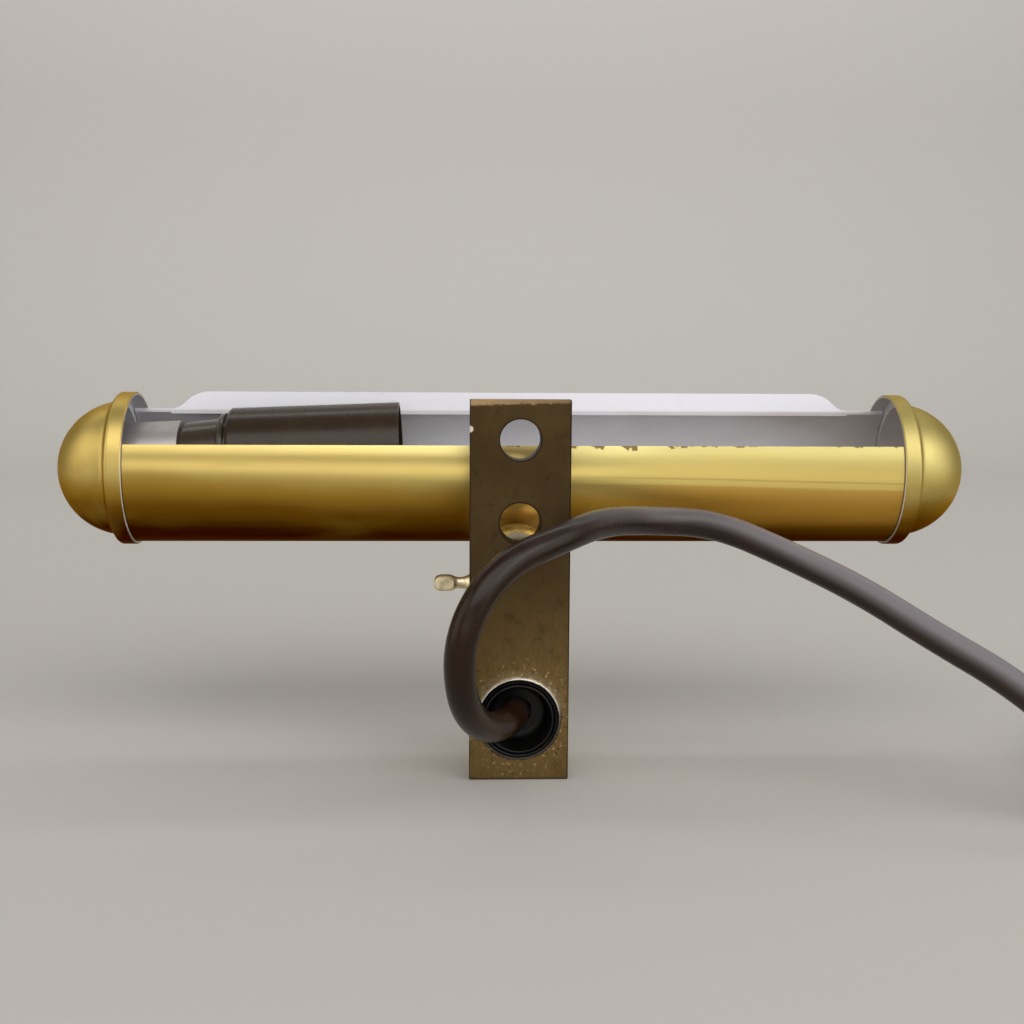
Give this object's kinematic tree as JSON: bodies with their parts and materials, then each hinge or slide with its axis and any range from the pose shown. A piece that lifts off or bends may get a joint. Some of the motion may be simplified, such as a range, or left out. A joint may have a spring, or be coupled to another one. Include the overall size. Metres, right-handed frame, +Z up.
{
  "type": "piano lamp",
  "caption": "Tubular shade lamp with round end caps on a flat drilled bar, with a tilting swivel, a turned switch key and a supply cord.",
  "frame": {"origin": "on the bar's free face, midway between its two bolt holes", "axes": "+X along the shade from the lamp holder's end to the other cap, +Y from the bar's free face towards the shade, +Z up"},
  "size_m": [0.4188, 0.1282, 0.0976],
  "materials": {
    "satin_brass": "satin, brushed round the barrel, lacquered",
    "polished_brass": "polished",
    "plain_brass": "as turned",
    "dark_bar": "dark bronze patina, worn at the edges",
    "bright_ferrule": "bright rolled edge",
    "plated_steel": "plated",
    "black_rubber": "satin",
    "black_moulding": "satin moulding",
    "brown_moulding": "dark brown thermoset moulding",
    "shell_aluminium": "pressed",
    "lead_sleeving": "insulated wire"
  },
  "bodies": {
    "bracket": {"bracket_bar": "dark_bar", "switch_housing": "polished_brass", "housing_dome": "polished_brass", "housing_base": "polished_brass", "entry_ferrule": "bright_ferrule", "cord_grommet": "black_rubber", "cord_clamp": "plated_steel", "switch_body": "black_moulding", "switch_bushing": "plain_brass", "bushing_nut": "polished_brass", "rear_nipple": "plain_brass", "swivel_lower": "polished_brass", "pivot_screw": "plated_steel", "pivot_nut": "plated_steel", "spring_washer": "plated_steel", "supply_cores": "lead_sleeving", "switch_leads": "lead_sleeving", "flex_lead": "black_rubber", "flex_coil": "black_rubber", "flex_tail": "black_rubber", "coil_tie": "black_moulding", "plug_body": "black_moulding", "plug_blades": "plain_brass", "plug_pin": "plain_brass"},
    "shade": {"swivel_upper": "polished_brass", "shade_nipple": "plain_brass", "outer_saddle": "polished_brass", "inner_saddle": "plated_steel", "shade_locknut": "plain_brass", "shade_barrel": "satin_brass", "end_cap_right": "satin_brass", "end_cap_left": "satin_brass", "holder_bracket": "plated_steel", "bracket_rivets": "plated_steel", "holder_neck": "brown_moulding", "holder_collar": "brown_moulding", "holder_sleeve": "brown_moulding", "screw_shell": "shell_aluminium", "centre_contact": "plain_brass", "shade_leads": "lead_sleeving"},
    "key": {"switch_shaft": "plain_brass", "switch_key": "polished_brass"}
  },
  "joints": [
    {"name": "shade_tilt", "type": "hinge", "parent": "bracket", "child": "shade", "pos_m": [0, 0.03744, -0.03281], "axis": [-1, 0, 0], "range_deg": [-2, 90]},
    {"name": "key_turn", "type": "hinge", "parent": "bracket", "child": "key", "pos_m": [-0.0144, 0.01585, -0.0285], "axis": [-1, 0, 0], "continuous": true}
  ]
}
